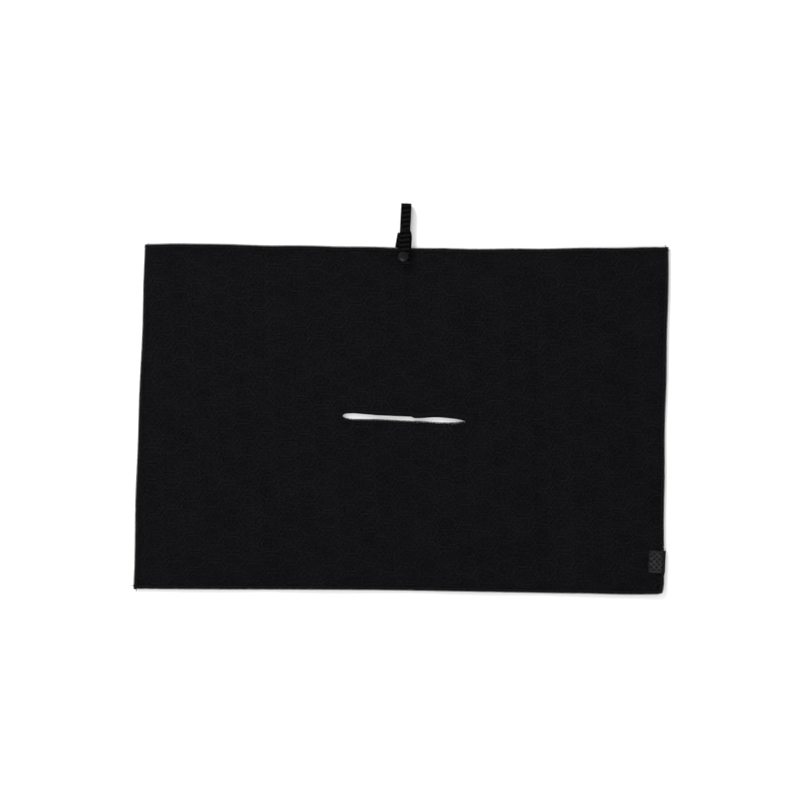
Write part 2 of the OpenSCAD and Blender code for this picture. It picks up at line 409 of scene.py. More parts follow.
class Shader(Nodes):
    """A material, and its principled shader."""

    def __init__(self, name, roughness=0.9, specular=0.1, metallic=0.0, sheen=0.0):
        self.material = bpy.data.materials.new(name)
        self.material.use_nodes = True
        super().__init__(self.material.node_tree)
        self.surface = self.tree.nodes["Principled BSDF"]
        self.surface.inputs["Roughness"].default_value = roughness
        self.surface.inputs["Specular IOR Level"].default_value = specular
        self.surface.inputs["Metallic"].default_value = metallic
        self.surface.inputs["Sheen Weight"].default_value = sheen
        self.surface.inputs["Sheen Roughness"].default_value = 0.45

    def colour(self, dark, light, share):
        made = self.node("ShaderNodeMix", {"data_type": "RGBA"})
        self.feed(made.inputs[0], share)
        made.inputs[6].default_value = (*dark, 1)
        made.inputs[7].default_value = (*light, 1)
        self.feed(self.surface.inputs["Base Color"], made.outputs[2])

    def bump(self, height_mm, strength=1.0):
        made = self.tree.nodes.new("ShaderNodeBump")
        made.inputs["Strength"].default_value = strength
        made.inputs["Distance"].default_value = MM
        self.feed(made.inputs["Height"], height_mm)
        self.feed(self.surface.inputs["Normal"], made.outputs[0])


def towel_material():
    """Black waffle microfibre over a fine square waffle, with a painted highlight along the double
    ridges round each cell and painted shade in the grooves between them.
    """
    s = Shader("towel_cloth", roughness=0.95, specular=0.06, sheen=0.015)
    vector, a, b = s.flat()
    x = s.math("PINGPONG", s.times(a, 1 / HEX_HALF_W), 1.5)
    y = s.math("PINGPONG", s.times(b, ROOT3_2 / HEX_HALF_H), ROOT3_2)

    def inside(x, y):
        flat = s.times(s.math("SUBTRACT", ROOT3_2, y), HEX_HALF_H / ROOT3_2)
        slanted = s.sum(s.times(x, ROOT3_2), s.times(y, 0.5))
        slanted = s.times(s.math("SUBTRACT", ROOT3_2, slanted), 1 / HEX_SLANT)
        return s.math("MINIMUM", flat, slanted)

    other = inside(s.math("SUBTRACT", 1.5, x), s.math("SUBTRACT", ROOT3_2, y))
    depth = s.math("MAXIMUM", inside(x, y), other)
    ridge = s.bell(depth, 1.55, 0.75)
    groove = s.bell(depth, 0.0, 0.7)
    fine = s.times(s.wave(a, 1.7), s.wave(b, 1.5))
    fuzz = s.noise(vector, 0.45, 3)
    blotch = s.noise(vector, 34, 2)
    mottle = s.noise(vector, 2.6, 3)
    clumps = s.noise(vector, 1.3, 2)
    # ridge adds a painted highlight along the cell ridges and groove adds painted shade in the
    # grooves; both also feed the bump below
    share = s.sum(s.times(ridge, 0.30), s.times(groove, -0.22), s.times(fine, 0.12),
                  s.times(fuzz, 0.5), s.times(blotch, 0.5), s.times(mottle, 1.9),
                  s.times(clumps, 1.9), -2.10)
    s.colour((0.0003, 0.0003, 0.0005), (0.0066, 0.0067, 0.0084), share)
    s.bump(s.sum(s.times(ridge, 0.10), s.times(groove, -0.08), s.times(fine, 0.12),
                 s.times(fuzz, 0.12)), 0.8)
    return s.material


def thread_material(name, light, pitch=0.9):
    """Twisted black polyester thread."""
    s = Shader(name, roughness=0.75, specular=0.12, sheen=0.02)
    vector, a, b = s.flat()
    twist = s.wave(s.sum(a, s.times(b, 1.3)), pitch)
    fuzz = s.noise(vector, 0.35, 2)
    s.colour((light * 0.4,) * 3, (light * 1.3, light * 1.3, light * 1.4),
             s.sum(s.times(twist, 0.25), s.times(fuzz, 0.9)))
    s.bump(s.sum(s.times(twist, 0.06), s.times(fuzz, 0.08)), 0.7)
    return s.material


def tape_material():
    """Black ribbed tape: raised cross ribs, fine warp threads and a firm selvedge, with painted light
    and dark bands across it that stand for the shading of its ripples.
    """
    s = Shader("loop_tape", roughness=0.8, specular=0.03, sheen=0.004)
    vector, a, b = s.flat()
    rib = s.wave(b, RIB_PITCH)
    warp = s.wave(a, 0.62)
    fuzz = s.noise(vector, 0.4, 3)
    wear = s.noise(vector, 3.0, 2)
    # band paints light and dark stripes across the tape at the ripple pitch: painted shading of the
    # ripples
    band = s.wave(s.sum(b, s.times(a, 0.18), s.times(wear, 2.4)), RIPPLE_PITCH)
    share = s.sum(s.times(rib, 0.12), s.times(band, 0.42), s.times(warp, 0.06),
                  s.times(fuzz, 0.4), s.times(wear, 0.3), -0.22)
    s.colour((0.0001, 0.0001, 0.0002), (0.0115, 0.0115, 0.0119), share)
    s.bump(s.sum(s.times(warp, 0.05), s.times(rib, 0.05), s.times(fuzz, 0.10)), 0.8)
    return s.material


LATTICE = 6.4            # spacing of the label's crossing lines


def label_material():
    """Charcoal damask label with a woven border round a plain diamond lattice."""
    s = Shader("side_label", roughness=0.7, specular=0.10, sheen=0.01)
    vector, a, b = s.flat()
    warp = s.wave(s.sum(a, b), 0.5)
    weft = s.wave(s.sum(a, s.times(b, -1.0)), 0.5)
    weave = s.times(warp, weft)
    fuzz = s.noise(vector, 0.8, 3)
    cloudy = s.noise(vector, 5.0, 2)
    side = s.math("SUBTRACT", LABEL_W / 2, s.math("ABSOLUTE", b))
    border = s.bell(side, 2.0, 0.35)
    leaf = s.times(s.step(a, 1.2, 1.7), s.step(s.times(a, -1.0), -15.6, -15.1))
    field = s.step(side, 3.2, 3.6)
    one = s.math("ABSOLUTE", s.wave(s.sum(a, b), 2 * LATTICE))
    other = s.math("ABSOLUTE", s.wave(s.sum(a, s.times(b, -1.0)), 2 * LATTICE))
    lines = s.math("MAXIMUM", s.bell(one, 0, 0.42), s.bell(other, 0, 0.42))
    light = s.times(s.sum(border, s.times(s.times(lines, field), 0.8)), leaf)
    share = s.sum(s.times(weave, 0.10), s.times(fuzz, 0.6), s.times(cloudy, 0.9),
                  s.times(light, 0.75), -0.72)
    s.colour((0.0012, 0.0012, 0.0015), (0.042, 0.042, 0.044), share)
    s.bump(s.sum(s.times(weave, 0.05), s.times(light, 0.05), s.times(fuzz, 0.05)), 0.7)
    return s.material


def snap_material(name, light, roughness, metallic=0.0):
    """Black lacquer with fine speckle and faint patches of tone and roughness."""
    s = Shader(name, roughness=roughness, specular=0.22, metallic=metallic)
    vector = s.here()
    speckle = s.noise(vector, 0.35, 3)
    wear = s.noise(vector, 2.2, 3)
    s.colour((light * 0.5,) * 3, (light * 1.5,) * 3, s.sum(s.times(speckle, 0.5), s.times(wear, 0.5)))
    s.bump(s.times(speckle, 0.02), 0.5)
    rough = s.node("ShaderNodeMapRange")
    s.feed(rough.inputs["Value"], wear)
    rough.inputs["To Min"].default_value = roughness * 0.8
    rough.inputs["To Max"].default_value = roughness * 1.25
    s.feed(s.surface.inputs["Roughness"], rough.outputs[0])
    return s.material


# ---- the towel's cloth ----

STEP = 1.0


def cloth_rows():
    """Distances from the fold line, closer together where the cloth bends."""
    near = np.arange(0, 8, 0.5)
    far = np.linspace(8, HEM - 0.6, 2 * round((HEM - 8) / (2 * STEP)) + 1)
    return np.concatenate([near, far])


def face_heights(x, y, edge):
    """Heights of the front and the back face. edge is the distance to the cloth's cut edge."""
    pressed = 1 - smooth(BIND_W * 0.5, BIND_W * 1.15, edge)
    relief = waffle(x, y) * (1 - pressed)
    rise = lift(x, y)
    front = CLOTH_T - 0.25 + relief - crease(x, y) + rise - pressed * 0.22
    back = 0.16 - relief * 0.6 + rise + pressed * 0.42
    # room for the tape under the cloth, and for the label's back leaf
    under_tape = ((1 - smooth(TAPE_W / 2, TAPE_W / 2 + 1.6, np.abs(x - LOOP_X)))
                  * smooth(SEWN_TIP - 1.5, SEWN_TIP, y))
    under_label = ((1 - smooth(LABEL_W / 2, LABEL_W / 2 + 2, np.abs(y - LABEL_Y)))
                   * smooth(EDGE_X - LABEL_IN - 3, EDGE_X - LABEL_IN - 1, x))
    back = back + under_tape * np.maximum(TAPE_T + 0.1 - back, 0)
    back = back + under_label * np.maximum(LABEL_T + 0.15 - back, 0)
    return front, back


def cloth_points(u, v, side):
    """Front and back points of the cloth at the cut places u and v on one side of the fold."""
    x, y = lie_flat(u, v)
    y = make_room_for_slit(x, y, side)
    line, half = slit_line(x)
    to_slit = np.where(half > 0.3, np.abs(y - line) - half, 99)
    edge = np.minimum(np.minimum(EDGE_X - np.abs(u), HEM - np.abs(v)), to_slit + 1.2)
    front, back = face_heights(x, y, edge)
    return np.stack([x, y, front], -1), np.stack([x, y, back], -1)


def build_cloth(material):
    columns = np.linspace(-EDGE_X + 0.6, EDGE_X - 0.6, 2 * round(TOWEL_W / (2 * STEP)) + 1)
    half_rows = cloth_rows()
    rows = np.concatenate([-half_rows[::-1], half_rows[1:]])
    if len(half_rows) % 2 == 0:
        raise ValueError("the rows must come in pairs")
    middle = len(half_rows) - 1
    # the columns that the slit opens, from an even one to an even one
    x_middle = lie_flat(columns, np.zeros_like(columns))[0]
    opened = np.where((x_middle > SLIT_LEFT[0]) & (x_middle < SLIT_RIGHT[0]))[0]
    first, last = opened[0] - opened[0] % 2, opened[-1] + opened[-1] % 2

    u, v = np.meshgrid(columns, rows)
    side = np.where(np.arange(len(rows)) >= middle, 1, -1)[:, None] * np.ones_like(u)
    front, back = cloth_points(u, v, side)
    lip_u = columns[first + 1: last]
    lip_front, lip_back = cloth_points(lip_u, np.zeros_like(lip_u), -np.ones_like(lip_u))

    points = [front.reshape(-1, 3), lip_front, back[::2, ::2].reshape(-1, 3), lip_back[1::2]]
    starts = np.cumsum([0] + [len(p) for p in points])
    fine = starts[0] + np.arange(u.size).reshape(u.shape)
    fine_lip = starts[1] + np.arange(len(lip_u))
    coarse = starts[2] + np.arange(back[::2, ::2].shape[0] * back[::2, ::2].shape[1])
    coarse = coarse.reshape(back[::2, ::2].shape[:2])
    coarse_lip = starts[3] + np.arange(len(lip_back[1::2]))

    def lower_part(index, lip, low, high, row):
        """The rows up to the fold line, with the slit's lower lip in the last one."""
        part = index[: row + 1].copy()
        part[-1, low + 1: high] = lip
        return part

    front_low = lower_part(fine, fine_lip, first, last, middle)
    back_low = lower_part(coarse, coarse_lip, first // 2, last // 2, middle // 2)
    back_high = coarse[middle // 2:]
    faces = [tuple(f) for part in (front_low, fine[middle:]) for f in grid_faces(part)]
    faces += [tuple(f) for part in (back_low, back_high) for f in grid_faces(part, flip=True)]
    faces += rim_faces(fine[0], coarse[0])
    faces += [f[::-1] for f in rim_faces(fine[-1], coarse[-1])]
    faces += [f[::-1] for f in rim_faces(fine[:, 0], coarse[:, 0])]
    faces += rim_faces(fine[:, -1], coarse[:, -1])
    faces += rim_faces(fine[middle, first: last + 1], coarse[middle // 2, first // 2: last // 2 + 1])
    faces += [f[::-1] for f in rim_faces(front_low[-1, first: last + 1],
                                         back_low[-1, first // 2: last // 2 + 1])]
    points = np.concatenate(points)
    uv = np.stack(weave_place(points[:, 0], points[:, 1]), 1) * MM
    return make_mesh("towel", points, faces, material, uv)


# ---- overlock ----


def path_along(u, v, count):
    """Evenly spaced points along an edge of the cloth."""
    x, y = lie_flat(u, v)
    path = np.stack([x, y], 1)
    run = np.concatenate([[0], np.cumsum(np.linalg.norm(np.diff(path, axis=0), axis=1))])
    at = np.linspace(0, run[-1], count)
    return np.stack([np.interp(at, run, path[:, i]) for i in (0, 1)], 1)


# One turn of a looper thread: how far along the stitch, how far in from the edge as a share of
# the width, and how high as a share of the half thickness.
TURN = ((0.00, 1.00, 0.78), (0.12, 0.66, 1.00), (0.24, 0.34, 1.00), (0.34, 0.09, 0.86),
        (0.42, -0.06, 0.45), (0.50, -0.10, 0.00), (0.58, -0.06, -0.45), (0.66, 0.09, -0.86),
        (0.76, 0.34, -1.00), (0.88, 0.66, -1.00), (0.96, 0.97, -0.60))


def edge_frame(path, along_mm):
    """Position and direction at each place along a path, in mm."""
    run = np.concatenate([[0], np.cumsum(np.linalg.norm(np.diff(path, axis=0), axis=1))])
    at = np.clip(along_mm, 0, run[-1])
    spot = np.stack([np.interp(at, run, path[:, i]) for i in (0, 1)], 1)
    step = 1.5
    before, after = np.clip(at - step, 0, run[-1]), np.clip(at + step, 0, run[-1])
    ahead = np.stack([np.interp(after, run, path[:, i]) - np.interp(before, run, path[:, i])
                      for i in (0, 1)], 1)
    ahead /= np.linalg.norm(ahead, axis=1, keepdims=True)
    over = (along_mm - at)[:, None] * ahead
    return spot + over, ahead


def overlock(path, pitch, width, half_t, radius, rng, height, tails=(0, 0), inward=1):
    """Looper threads wound round an edge, with a needle thread along their inner ends.

    path runs along the edge with the cloth on its left when inward is 1. height(x, y) gives
    the middle of the cloth's thickness.
    """
    length = np.linalg.norm(np.diff(path, axis=0), axis=1).sum()
    count = max(2, round(length / pitch))
    pitch = length / count
    turn = np.array(TURN)
    parts, uv = [], []

    def lay(along, depth, tall, thick, squeeze=1.0, sides=5):
        spot, ahead = edge_frame(path, along)
        left = np.stack([-ahead[:, 1], ahead[:, 0]], 1) * inward
        flat = spot + left * depth[:, None]
        z = height(flat[:, 0], flat[:, 1]) + tall
        line = np.column_stack([flat, z])
        points, faces = tube(line, thick, sides, squeeze)
        parts.append((points, faces))
        steps = np.concatenate([[0], np.cumsum(np.linalg.norm(np.diff(line, axis=0), axis=1))])
        around = np.tile(np.arange(sides) * 2 * math.pi * thick / sides, len(line))
        uv.append(np.stack([around, np.repeat(steps, sides)], 1))

    for strand, slant in ((0.0, 1.0), (0.5, -0.55)):
        number = np.arange(count)
        wobble = rng.normal(0, 0.05, count)
        deep = 1 + rng.normal(0, 0.05, count)
        # a strand keeps its slant over the front and makes up for it over the back
        back_share = (turn[:, 0] - 0.5) * 2
        ahead = turn[:, 0] * np.where(back_share <= 0, slant, slant + (1 - slant) * back_share)
        along = (number[:, None] + strand + 0.25 + wobble[:, None] + ahead) * pitch
        along = np.clip(along, -tails[0], length + tails[1])
        depth = turn[None, :, 1] * width * np.where(turn[None, :, 1] > 0.5, deep[:, None], 1)
        tall = turn[None, :, 2] * (half_t - radius) * np.ones((count, 1))
        lay(along.ravel(), depth.ravel(), tall.ravel(), radius, squeeze=0.85)
    needle_t = half_t - 0.30
    at = np.arange(-tails[0], length + tails[1], pitch / 4)
    dip = 0.35 * np.cos(2 * math.pi * at / pitch) - 0.05
    lay(at, np.full(len(at), width * 0.97), needle_t + dip, 0.24, sides=5)
    points, faces = join_parts(parts)
    return points, faces, np.concatenate(uv) * MM


def edge_height(x, y):
    return BIND_T / 2 + lift(x, y)


def build_overlock(name, u, v, material, seed, tails=(0, 0)):
    """The overlock along one edge of the cloth, from one end of (u, v) to the other."""
    steps = np.linspace(0, 1, 600)
    path = path_along(u[0] + (u[1] - u[0]) * steps, v[0] + (v[1] - v[0]) * steps, 600)
    points, faces, uv = overlock(path, OVERLOCK_PITCH, BIND_W - 0.4, BIND_T / 2, 0.38,
                                 np.random.default_rng(seed), edge_height, tails)
    return make_mesh(name, points, faces, material, uv)


def build_slit_rim(material):
    """Dense overlock round the slit, along its upper lip and back along its lower lip."""
    x = np.linspace(SLIT_LEFT[0] - 0.6, SLIT_RIGHT[0] + 0.6, 500)
    zero = np.zeros_like(x)
    upper = np.stack([x, make_room_for_slit(x, zero, 1)], 1)
    lower = np.stack([x, make_room_for_slit(x, zero, -1)], 1)
    rng = np.random.default_rng(41)
    parts, uvs = [], []
    for lip, inward in ((upper, 1), (lower, -1)):
        points, faces, uv = overlock(lip, SLIT_PITCH, 2.9, BIND_T / 2, 0.42, rng, edge_height,
                                     (0.8, 0.8), inward)
        parts.append((points, faces))
        uvs.append(uv)
    points, faces = join_parts(parts)
    return make_mesh("slit_overlock", points, faces, material, np.concatenate(uvs))


# ---- the loop's tape ----

RIB_PITCH = 1.5
LEAN = 0.05              # the loop leans to the right: mm sideways for each mm up
# the same pitch sets the painted light and dark bands in the tape's colour
RIPPLE_PITCH = 5.4       # the tape has soft ripples across it


def ribbon(path, across, normal, width, thick, rib=0.09, first_mm=0.0, ripple=0.08):
    """A woven tape: a closed band along path, with cross ribs and thicker selvedges.

    path holds the middle of the tape; across and normal are unit vectors at each point. ripple
    is how far the soft waves across the tape rise.
    """
    run = np.concatenate([[0], np.cumsum(np.linalg.norm(np.diff(path, axis=0), axis=1))])
    fine = np.linspace(0, run[-1], max(8, round(run[-1] / (RIB_PITCH / 6))))

    def along(values):
        return np.stack([np.interp(fine, run, values[:, i]) for i in range(3)], 1)

    path, across, normal = along(path), along(across), along(normal)
    across /= np.linalg.norm(across, axis=1, keepdims=True)
    normal /= np.linalg.norm(normal, axis=1, keepdims=True)
    wide = np.interp(fine, run, np.broadcast_to(width, run.shape))
    share = np.array([-1, -0.985, -0.93, -0.86, -0.6, -0.3, 0, 0.3, 0.6, 0.86, 0.93, 0.985, 1])
    full = np.array([0.30, 0.72, 0.98, 1.0, 0.86, 0.86, 0.86, 0.86, 0.86, 1.0, 0.98, 0.72, 0.30])
    wave = rib * np.cos(2 * math.pi * (fine + first_mm) / RIB_PITCH)
    plain = np.where(np.abs(share) > 0.84, 0.35, 1.0)
    tall = thick / 2 * full[None, :] - rib * 0.5 + wave[:, None] * plain[None, :]
    lateral = share[None, :, None] * (wide / 2)[:, None, None] * across[:, None, :]
    turn = 2 * math.pi * (fine[:, None] + first_mm + share[None, :] * 1.1) / RIPPLE_PITCH
    held = smooth(0, 5, fine) * smooth(0, 5, run[-1] - fine)
    sway = ripple * np.sin(turn + 0.7 * np.sin(fine / 5.3)[:, None]) * held[:, None]
    middle = path[:, None, :] + lateral + sway[:, :, None] * normal[:, None, :]
    top = middle + tall[:, :, None] * normal[:, None, :]
    low = middle - tall[:, :, None] * normal[:, None, :]
    ring = np.concatenate([top, low[:, ::-1]], 1)
    n = ring.shape[1]
    index = np.arange(ring.shape[0] * n).reshape(-1, n)
    closed = np.concatenate([index, index[:, :1]], 1)
    faces = [tuple(f) for f in grid_faces(closed, flip=True)]
    faces += [tuple(index[0]), tuple(index[-1][::-1])]
    a = np.concatenate([share, share[::-1]])[None, :] * (wide / 2)[:, None]
    b = np.broadcast_to((fine + first_mm)[:, None], a.shape)
    return ring.reshape(-1, 3), faces, np.stack([a.ravel(), b.ravel()], 1) * MM


def rounded(points, step=0.5, radius=3):
    """A smooth line through given points, sampled every step mm."""
    points = np.asarray(points, float)
    run = np.concatenate([[0], np.cumsum(np.linalg.norm(np.diff(points, axis=0), axis=1))])
    fine = np.linspace(0, run[-1], max(4, round(run[-1] / step)))
    line = np.stack([np.interp(fine, run, points[:, i]) for i in range(3)], 1)
    for _ in range(radius):
        line[1:-1] = (line[:-2] + 2 * line[1:-1] + line[2:]) / 4
    return line


def tape_frames(path, fall=LEAN):
    """Across and normal vectors for a tape whose path runs mainly along Y and Z.

    fall is how far the tape's right edge is below its left one, for each mm of width.
    """
    ahead = np.gradient(path, axis=0)
    ahead /= np.linalg.norm(ahead, axis=1, keepdims=True)
    across = np.tile([1.0, 0, 0], (len(path), 1))
    across[:, 1] = -np.asarray(fall)
    across -= (across * ahead).sum(1, keepdims=True) * ahead
    across /= np.linalg.norm(across, axis=1, keepdims=True)
    normal = np.cross(across, ahead)
    return across, normal


HEM_AT_LOOP = float(lie_flat(LOOP_X, HEM)[1])    # the hem is drawn in where the loop is sewn
LOOP_TURN_R = LOOP_H / 2
TURN_Y = LOOP_TOP - LOOP_TURN_R
DOUBLER_TIP = HEM_AT_LOOP + 17.2
SEAM_Y = HEM_AT_LOOP + 20
FRONT_OVERLAP = 0.7      # the front leg starts this far back over the turn
TAB_UNDER = 2.2          # the tab's turned-under end stops this far beyond the hem


def lean(y):
    """Middle of the front leg at y."""
    return LOOP_X + 0.6 + LEAN * (y - SNAP_Y) * smooth(TAB_TIP, SNAP_Y + 8, y)


def back_lean(y):
    """Middle of the back leg, which spreads to the right near the towel."""
    spread = 2.3 * (1 - smooth(DOUBLER_TIP - 3, DOUBLER_TIP + 3, y))
    return lean(y) + spread * smooth(SEWN_TIP, HEM, y)


def build_back_tape(material):
    """From the sewn end under the cloth, along the back leg and round the turn at the top."""
    mid = TAPE_T / 2
    low = mid + 0.12
    y = np.concatenate([np.arange(SEWN_TIP, TURN_Y, 1.5), [TURN_Y]])
    points = [(back_lean(at), at, low) for at in y]
    angle = np.linspace(-90, 84, 22)
    r = LOOP_TURN_R - mid
    arc = [(lean(TURN_Y), TURN_Y + r * math.cos(math.radians(t)),
            LOOP_TURN_R + r * math.sin(math.radians(t))) for t in angle]
    path = np.concatenate([rounded(points, 0.5, 4)[:-1], np.array(arc)])
    across, normal = tape_frames(path)
    points, faces, uv = ribbon(path, across, -normal, TAPE_W, TAPE_T * 0.9)
    return make_mesh("loop_back_tape", points, faces, material, uv)


def build_front_tape(material):
    """The front leg, from the turn at the top to the row where the tab begins."""
    high = LOOP_H - TAPE_T / 2
    y = np.arange(TURN_Y + FRONT_OVERLAP, SEAM_Y, -1.5)
    path = rounded([(lean(at), at, high) for at in (*y, SEAM_Y)], 0.5, 2)
    across, normal = tape_frames(path)
    points, faces, uv = ribbon(path, across, normal, TAPE_W, TAPE_T * 0.9)
    return make_mesh("loop_front_tape", points, faces, material, uv)


def build_tab_tape(material):
    """The front leg's lower stretch and the snap tab, turned under at its tip."""
    high = LOOP_H - TAPE_T / 2
    low = high - TAPE_T
    tip_r = TAPE_T / 2
    y = np.arange(SEAM_Y + 0.2, TAB_TIP + tip_r, -1.5)
    points = rounded([(lean(at), at, high) for at in (*y, TAB_TIP + tip_r)], 0.5, 2)
    angle = np.linspace(80, -80, 9)
    tip = [(lean(TAB_TIP), TAB_TIP + tip_r - tip_r * math.cos(math.radians(t)),
            high - tip_r + tip_r * math.sin(math.radians(t))) for t in angle]
    y = np.arange(TAB_TIP + tip_r, HEM + TAB_UNDER, 1.5)
    under = rounded([(lean(at), at, low) for at in (*y, HEM + TAB_UNDER)], 0.5, 2)
    path = np.concatenate([points, np.array(tip), under])
    across, normal = tape_frames(path)
    points, faces, uv = ribbon(path, across, normal, TAPE_W, TAPE_T * 0.9)
    return make_mesh("loop_tab_tape", points, faces, material, uv)


def build_doubler(material):
    """The tape's turned-back end, laid askew on the back leg."""
    z = TAPE_T * 1.5 + 0.15
    start, end = (-1.1, HEM_AT_LOOP - 0.2), (2.0, DOUBLER_TIP)
    path = np.array([(start[0] + (end[0] - start[0]) * t, start[1] + (end[1] - start[1]) * t,
                      z + 0.3 * math.sin(2.6 * t)) for t in np.linspace(0, 1, 40)])
    lean_here = (end[0] - start[0]) / (end[1] - start[1])
    across, normal = tape_frames(path, np.linspace(0, lean_here, len(path)))
    points, faces, uv = ribbon(path, across, normal, TAPE_W, TAPE_T * 0.9, first_mm=0.7)
    return make_mesh("loop_doubler", points, faces, material, uv)


# ---- label and stitches ----


def build_label(material):
    """A thin woven strip folded over the right edge, lying a little askew."""
    y_low = LABEL_Y - LABEL_W / 2
    thick = LABEL_T * 0.8
    along = np.linspace(0, 1, 54)
    x_edge = lie_flat(np.array([EDGE_X]), np.array([LABEL_Y]))[0][0]
    bend = (BIND_T + LABEL_T) / 2
    front_z, back_z = BIND_T + LABEL_T / 2 + 0.1, LABEL_T / 2 + 0.04
    inner = x_edge - LABEL_IN
    corner = x_edge + LABEL_OUT - bend
    front = [(x, front_z) for x in np.linspace(inner, corner, 46)]
    middle_z, high = (front_z + back_z) / 2, (front_z - back_z) / 2
    turn = [(corner + (LABEL_OUT + 0.5) * math.cos(t), middle_z + high * math.sin(t))
            for t in np.linspace(math.pi / 2, -math.pi / 2, 15)[1:-1]]
    back = [(x, back_z) for x in np.linspace(corner, inner + 1.5, 40)]
    section = np.array(front + turn + back)
    step = np.concatenate([[0], np.cumsum(np.linalg.norm(np.diff(section, axis=0), axis=1))])
    ahead = np.gradient(section, axis=0)
    ahead /= np.linalg.norm(ahead, axis=1, keepdims=True)
    out = np.stack([-ahead[:, 1], ahead[:, 0]], 1)
    s, t = np.meshgrid(np.arange(len(section)), along, indexing="ij")
    y = y_low + t * LABEL_W
    on_front = np.clip((front_z + 0.2 - section[s, 1]) < 0.6, 0, 1)
    ripple = on_front * (0.12 * np.sin(step[s] / 2.4 + 1.5 * t) * np.sin(3.1 * t)
                         + 0.35 * bell(step[s], 0, 2.2) * (np.abs(t - 0.5) * 2) ** 3)
    cloth_rise = lift(section[s, 0], y)
    layers = []
    for side in (0.5, -0.5):
        x = section[s, 0] + out[s, 0] * thick * side
        z = section[s, 1] + out[s, 1] * thick * side + ripple + cloth_rise
        layers.append(np.stack([x, y, z], -1))
    askew = math.radians(-2.6)
    points = np.concatenate([p.reshape(-1, 3) for p in layers])
    dx, dy = points[:, 0] - (x_edge - 8), points[:, 1] - LABEL_Y
    points[:, 0] = x_edge - 8 + dx * math.cos(askew) - dy * math.sin(askew)
    points[:, 1] = LABEL_Y + dx * math.sin(askew) + dy * math.cos(askew)
    top = np.arange(s.size).reshape(s.shape)
    low = top + s.size
    faces = [tuple(f) for f in grid_faces(top)] + [tuple(f) for f in grid_faces(low, flip=True)]
    for a, b in ((top[0], low[0]), (low[-1], top[-1]), (low[:, 0], top[:, 0]),
                 (top[:, -1], low[:, -1])):
        faces += [tuple(f) for f in grid_faces(np.stack([b, a]))]
    uv = np.tile(np.stack([step[s].ravel(), (y - LABEL_Y).ravel()], 1), (2, 1)) * MM
    return make_mesh("side_label_strip", points, faces, material, uv)


def stitches(start, end, z, pitch, length, radius, sink=0.28):
    """A row of stitches, each a thread that rises out of the cloth and dips back into it."""
    start, end = np.array(start, float), np.array(end, float)
    whole = np.linalg.norm(end - start)
    ahead = (end - start) / whole
    count = max(1, int(whole // pitch))
    slack = (whole - (count - 1) * pitch - length) / 2
    parts, uv = [], []
    for k in range(count):
        t = np.linspace(0, 1, 9)
        flat = start + ahead * (slack + k * pitch + t[:, None] * length)
        tall = z + radius * 0.7 - sink * (2 * np.abs(t - 0.5)) ** 4 * 2
        line = np.column_stack([flat, tall])
        points, faces = tube(line, radius, 6)
        parts.append((points, faces))
        around = np.tile(np.arange(6) * radius, len(line))
        uv.append(np.stack([around, np.repeat(t * length, 6)], 1))
    points, faces = join_parts(parts)
    return points, faces, np.concatenate(uv) * MM


def build_stitches(name, rows, z, material, pitch=2.6, length=2.0):
    parts, uvs = [], []
    for start, end in rows:
        points, faces, uv = stitches(start, end, z, pitch, length, 0.2)
        parts.append((points, faces))
        uvs.append(uv)
    points, faces = join_parts(parts)
    return make_mesh(name, points, faces, material, np.concatenate(uvs))


# ---- putting it together ----


